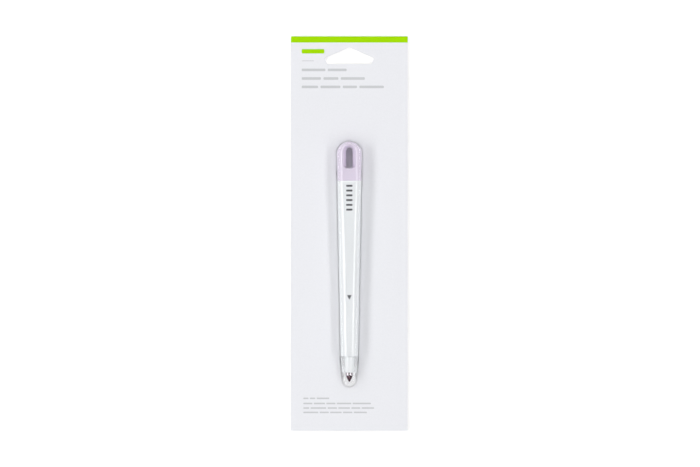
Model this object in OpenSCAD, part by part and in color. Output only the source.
// A paper-scoring stylus, carded for sale: a fold-over board card traps a clear
// thermoformed blister, and the blister holds the stylus.
// Millimetres. X runs across the card, +Y up the card to its fold, +Z out of its face.
// The origin is the centre of the card's back face, and the card lies on that face.

/* [Card] */
// Width of the card
card_w = 64; // [50:0.5:90]
// Height of the folded card, crease included
card_h = 216; // [210:1:260]
// Thickness of one panel of board
board_t = 0.5; // [0.4:0.05:0.8]
// Thickness of the heat-seal layer between the panels
seal_t = 0.1; // [0.05:0.05:0.2]

/* [Hang hole] */
// Half the width of the whole hole
hole_half_w = 13.3; // [11:0.1:14]
// Radius of the corners at each end
hole_corner_r = 1; // [0.6:0.1:1.2]
// How far the lower corners lie inside the upper ones
hole_foot_in = 0.9; // [0.5:0.1:1.5]
// How far the upper corners lie above the lower ones
hole_end_rise = 1.75; // [0.8:0.05:2]
// Radius at the peak, where a peg hook settles
hole_peak_r = 1.6; // [1.2:0.1:2.4]
// Height of the whole hole
hole_h = 9.1; // [7:0.1:9.5]
// Distance from the card's top to the hole's peak
hole_drop = 6.1; // [6:0.1:12]

/* [Blister] */
// Thickness of the clear sheet
sheet_t = 0.3; // [0.2:0.05:0.4]
// Height of the dome above the card's back face, over the end cap
dome_h = 10; // [9.9:0.1:12]
// Radius of the dome's outline round the end cap
dome_top_r = 7.2; // [7.1:0.1:8]
// How far the dome's wall leans in from its foot to its shoulder
draft = 0.6; // [0.2:0.1:0.7]
// Radius of the dome's shoulder
shoulder_r = 1.4; // [1:0.1:2.5]
// Width of the flange that the card traps
flange_w = 5; // [3:0.5:8]

/* [Stylus] */
// Width of the end cap, and of the barrel where they meet
cap_w = 11.1; // [10.5:0.1:11.5]
// Thickness of the stylus there, flat to flat
cap_h = 8.6; // [8:0.1:9]
// Width of the barrel at its lower end
barrel_end_w = 7; // [6.6:0.1:8]
// Length of the end cap
cap_l = 20.8; // [20:0.1:24]
// Length of the barrel
barrel_l = 95.9; // [90:0.1:98]
// Length of the nose outside the barrel
nose_l = 8.8; // [8:0.1:10]
// Length of the collar on the tip
collar_l = 1.7; // [1:0.1:2]
// Length of the scoring point
point_l = 3.4; // [3:0.1:4]

/* [Slot in the end cap] */
// Width of the slot halfway through
slot_w = 3.45; // [3:0.05:3.9]
// Length of the slot halfway through
slot_l = 11; // [9:0.1:12]
// How far each side opens out at the faces
slot_flare = 2.2; // [1:0.1:2.4]

/* [Hidden] */
$fn = 72;
hull_fn = 32;
eps = 0.01;

// the card's layers, from the back face up
inner_z = board_t;
front_z = inner_z + seal_t;
card_t = front_z + board_t;
fold_y = card_h / 2 - card_t / 2;
seal_margin = 3;
board = "white";
board_edge = "whitesmoke";

// the hang hole
hole_peak_y = card_h / 2 - hole_drop;
hole_end_x = hole_half_w - hole_corner_r;
hole_foot_x = hole_end_x - hole_foot_in;
hole_foot_y = hole_peak_y - hole_h + hole_corner_r;
hole_end_y = hole_foot_y + hole_end_rise;
hole_stops = [[-hole_foot_x, hole_foot_y, hole_corner_r],
              [hole_foot_x, hole_foot_y, hole_corner_r],
              [hole_end_x, hole_end_y, hole_corner_r],
              [0, hole_peak_y - hole_peak_r, hole_peak_r],
              [-hole_end_x, hole_end_y, hole_corner_r]];

// where the stylus lies: Y of its top, of each joint between its pieces and of its point
top_y = 49.6;
seam_y = top_y - cap_l;
neck_y = seam_y - barrel_l;
nose_y = neck_y - nose_l;
collar_y = nose_y - collar_l;
rest_gap = 0.05;
axis_z = inner_z + rest_gap + cap_h / 2;

// the dome, from its top to its foot: round posts on the card's centre line, as [y, radius, height]
dome = [[43.5, dome_top_r, dome_h],
        [-69.5, 5.05, dome_h - 0.8],
        [-80.1, 3.9, dome_h - 1.4]];
// the stops that its outline goes round, as [x, y, radius], anticlockwise
dome_stops = [for (i = [0, 1, 2, 1]) [0, dome[i][0], dome[i][1]]];
window_gap = 0.25;
pocket_gap = 0.2;

// the pads in the dome's walls that keep the stylus in place, as [middle y, length, distance from the axis]
pads = [[32.7, 2.6, 6.0],
        [neck_y - 2.45, 4.1, 3.1]];
// the height of the pads' tops
pad_z = 6;

// the barrel's cross-section: its flats, and the round corners between them
flat_top = 3.4;
flat_end = 1.2;
flat_power = 1.8;
barrel_end_h = 7;
corner_steps = 8;
barrel_steps = 9;

// the slot through the end cap: its waist halfway, and how its mouths differ
slot_top = top_y - 2.8;
waist_foot_r = 0.7;
mouth_foot_r = 3;
mouth_rise = 1.6;
mouth_drop = 0.3;
waist_lap = 0.1;

// fits inside the stylus
cap_plug_r = 3.2;
cap_plug_l = 8;
nose_plug_r = 2;
nose_plug_l = 11;
shank_r = 1;
shank_l = 15;
fit_gap = 0.03;
seat_gap = 0.5;

// the nose, the collar and the point
nose_r = 2.7;
nose_taper = 0.15;
nose_end_r = 2.1;
nose_round_l = 2.2;
collar_r = 2;
collar_bevel = 0.2;
point_r = 1.73;
waist_r = 1.2;
waist_l = 1.55;
ball_r = 0.4;
ball_lean = 24;

// ---- shapes that repeat ----

// Direction in which a belt from stop a to stop b faces, where stops are [x, y, radius]
function facing(a, b) =
    let (d = [b[0] - a[0], b[1] - a[1]])
    atan2(d[1], d[0]) - acos((a[2] - b[2]) / norm(d));

// The point of a stop's circle that lies in one direction
function rim(stop, angle, grow) =
    [stop[0], stop[1]] + (stop[2] + grow) * [cos(angle), sin(angle)];

// The outline of a belt round a list of circles, taken anticlockwise and grown by a margin
module belt(stops, grow = 0) {
    n = len(stops);
    for (stop = stops) translate([stop[0], stop[1]]) circle(stop[2] + grow);
    polygon([for (i = [0 : n - 1], end = [0, 1])
        rim(stops[(i + end) % n], facing(stops[i], stops[(i + 1) % n]), grow)]);
}

// The dome's outline on the card
module dome_outline(grow = 0) {
    belt(dome_stops, grow);
}

// The peg-hook hole: a low peak that slopes down to two short ends
module hang_hole(grow = 0) {
    belt(hole_stops, grow);
}

// One panel of the card, below the crease
module panel() {
    difference() {
        translate([-card_w / 2, -card_h / 2]) square([card_w, card_h / 2 + fold_y]);
        hang_hole();
    }
}

// A round block with a leaning wall and a round shoulder, from floor_z up
module shouldered_disc(r, h, floor_z, round_r) {
    wall_top = r - draft;
    arc = [for (a = [0 : 15 : 90]) [wall_top - round_r + round_r * cos(a), h - round_r + round_r * sin(a)]];
    rotate_extrude($fn = hull_fn)
        polygon(concat([[0, floor_z], [r, floor_z]], arc, [[0, h]]));
}

// The dome as a solid block, taken in by a wall thickness
module dome_block(inset, floor_z) {
    hull()
        for (c = dome)
            translate([0, c[0], 0])
                shouldered_disc(c[1] - inset, c[2] - inset, floor_z, shoulder_r - inset);
}

// The room that the side pads take from the dome, trimmed by a wall thickness
module pad_notches(trim) {
    block = 10;
    for (p = pads, side = [-1, 1])
        translate([side * (p[2] + trim + block / 2), p[0], pad_z - trim - block / 2])
            cube([block, p[1] - 2 * trim, block], center = true);
}

// A round length of the stylus on its axis, from y0 up to y1
module turned(y0, y1, r0, r1) {
    translate([0, y0, axis_z]) rotate([-90, 0, 0]) cylinder(h = y1 - y0, r1 = r0, r2 = r1);
}

// Points of a rounded rectangle of half width w and half thickness h, with corners of radius r
function section(w, h, r, y) = [
    for (quarter = [0 : 3], i = [0 : corner_steps])
        let (a = quarter * 90 + i * 90 / corner_steps,
             sx = (quarter == 0 || quarter == 3) ? 1 : -1,
             sz = quarter < 2 ? 1 : -1)
        [sx * (w - r) + r * cos(a), y, axis_z + sz * (h - r) + r * sin(a)]
];

// A solid through rings of points, the first ring lowest in Y
module skin(rings) {
    n = len(rings[0]);
    last = len(rings) - 1;
    sides = [for (k = [0 : last - 1], i = [0 : n - 1])
        [k * n + i, k * n + (i + 1) % n, (k + 1) * n + (i + 1) % n, (k + 1) * n + i]];
    foot = [for (i = [n - 1 : -1 : 0]) i];
    head = [for (i = [0 : n - 1]) last * n + i];
    polyhedron(points = [for (ring = rings) each ring], faces = concat(sides, [foot], [head]));
}

// The barrel's section at a share u of its length, 0 at the neck and 1 at the seam
function barrel_section(u) =
    let (w = (barrel_end_w + (cap_w - barrel_end_w) * u) / 2,
         h = (barrel_end_h + (cap_h - barrel_end_h) * u) / 2,
         flat = flat_end + (flat_top - flat_end) * pow(u, flat_power))
    section(w, h, w - flat, neck_y + barrel_l * u);

// ---- the card ----

module back_card() {
    color(board) linear_extrude(board_t) panel();
}

module seal_layer() {
    color("gainsboro") translate([0, 0, inner_z]) linear_extrude(seal_t) difference() {
        translate([-card_w / 2, -card_h / 2]) square([card_w, card_h / 2 + fold_y]);
        hang_hole(seal_margin);
        dome_outline(flange_w + pocket_gap);
    }
}

module top_crease() {
    color("yellowgreen") difference() {
        translate([0, fold_y, card_t / 2]) rotate([0, 90, 0])
            difference() {
                cylinder(h = card_w, r = card_t / 2, center = true);
                cylinder(h = card_w + 1, r = seal_t / 2, center = true);
            }
        translate([-card_w, fold_y - card_t, -card_t]) cube([2 * card_w, card_t, 3 * card_t]);
    }
}

module front_card() {
    color(board_edge) difference() {
        translate([0, 0, front_z]) linear_extrude(board_t) difference() {
            panel();
            dome_outline(window_gap);
        }
        translate([0, 0, inner_z - eps]) linear_extrude(sheet_t + eps)
            dome_outline(flange_w + pocket_gap);
    }
}

// ---- the blister ----

module blister() {
    color([0.85, 0.92, 0.95, 0.35]) {
        difference() {
            union() {
                difference() {
                    dome_block(0, inner_z);
                    pad_notches(sheet_t);
                }
                translate([0, 0, inner_z]) linear_extrude(sheet_t) dome_outline(flange_w);
            }
            difference() {
                dome_block(sheet_t, inner_z - 1);
                pad_notches(0);
            }
        }
    }
}

// ---- the stylus ----

// The slot's outline at one level: a round top, and a foot with its own corner radius
module slot_outline(w, foot, head, foot_r) {
    translate([0, head - w / 2]) circle(w / 2, $fn = hull_fn);
    for (side = [-1, 1])
        translate([side * (w / 2 - foot_r), foot + foot_r]) circle(foot_r, $fn = hull_fn);
}

// Half the slot, opening out from the middle of the cap to one face
module slot_half(side) {
    hull() {
        translate([0, 0, axis_z - side * waist_lap]) linear_extrude(eps)
            slot_outline(slot_w, slot_top - slot_l, slot_top, waist_foot_r);
        translate([0, 0, axis_z + side * (cap_h / 2 + eps)]) linear_extrude(eps)
            slot_outline(slot_w + 2 * slot_flare, slot_top - slot_l - mouth_drop,
                         slot_top + mouth_rise, mouth_foot_r);
    }
}

module end_cap() {
    corner_r = cap_w / 2 - flat_top;
    arc = [for (a = [-90 : 15 : 90])
        [cap_w / 2 - corner_r + corner_r * cos(a), sign(a) * (cap_h / 2 - corner_r) + corner_r * sin(a)]];
    color("thistle") {
        difference() {
            hull() {
                skin([section(cap_w / 2, cap_h / 2, corner_r, seam_y),
                      section(cap_w / 2, cap_h / 2, corner_r, seam_y + 1)]);
                translate([0, top_y - cap_w / 2, axis_z]) rotate_extrude($fn = hull_fn)
                    polygon(concat([[0, -cap_h / 2]], arc, [[0, cap_h / 2]]));
            }
            slot_half(1);
            slot_half(-1);
        }
        turned(seam_y - cap_plug_l, seam_y, cap_plug_r - fit_gap, cap_plug_r - fit_gap);
    }
}

module barrel() {
    plug_seat_y = seam_y - cap_plug_l - 2 * seat_gap;
    nose_seat_y = neck_y + nose_plug_l + seat_gap;
    color("white") difference() {
        skin([for (i = [0 : barrel_steps]) barrel_section(i / barrel_steps)]);
        turned(plug_seat_y, seam_y + 1, cap_plug_r, cap_plug_r);
        turned(nose_seat_y - eps, plug_seat_y + eps, nose_plug_r, cap_plug_r);
        turned(neck_y - 1, nose_seat_y, nose_plug_r, nose_plug_r);
    }
}

module nose_cone() {
    shoulder_y = nose_y + nose_round_l;
    taper_end_r = nose_r - nose_taper;
    color("whitesmoke") difference() {
        union() {
            turned(neck_y, neck_y + nose_plug_l, nose_plug_r - fit_gap, nose_plug_r - fit_gap);
            turned(shoulder_y, neck_y, taper_end_r, nose_r);
            translate([0, nose_y, axis_z]) rotate([-90, 0, 0]) rotate_extrude()
                polygon(concat([[0, 0]],
                    [for (a = [0 : 15 : 90])
                        [nose_end_r + (taper_end_r - nose_end_r) * sin(a), nose_round_l * (1 - cos(a))]],
                    [[0, nose_round_l]]));
        }
        turned(nose_y - 1, nose_y + shank_l + seat_gap, shank_r + fit_gap, shank_r + fit_gap);
    }
}

module tip_collar() {
    color("silver") difference() {
        union() {
            turned(collar_y + collar_bevel, nose_y, collar_r, collar_r);
            turned(collar_y, collar_y + collar_bevel, collar_r - collar_bevel, collar_r);
        }
        turned(collar_y - 1, nose_y + 1, shank_r + fit_gap, shank_r + fit_gap);
    }
}

module scoring_tip() {
    ball_y = point_l - ball_r;
    color("dimgray") union() {
        turned(collar_y, nose_y + shank_l, shank_r, shank_r);
        translate([0, collar_y, axis_z]) rotate([90, 0, 0]) rotate_extrude()
            polygon(concat([[0, 0], [point_r, 0], [waist_r, waist_l]],
                [for (a = [ball_lean : 11 : 90]) [ball_r * cos(a), ball_y + ball_r * sin(a)]],
                [[0, point_l]]));
    }
}

back_card();
seal_layer();
top_crease();
front_card();
blister();
end_cap();
barrel();
nose_cone();
tip_collar();
scoring_tip();
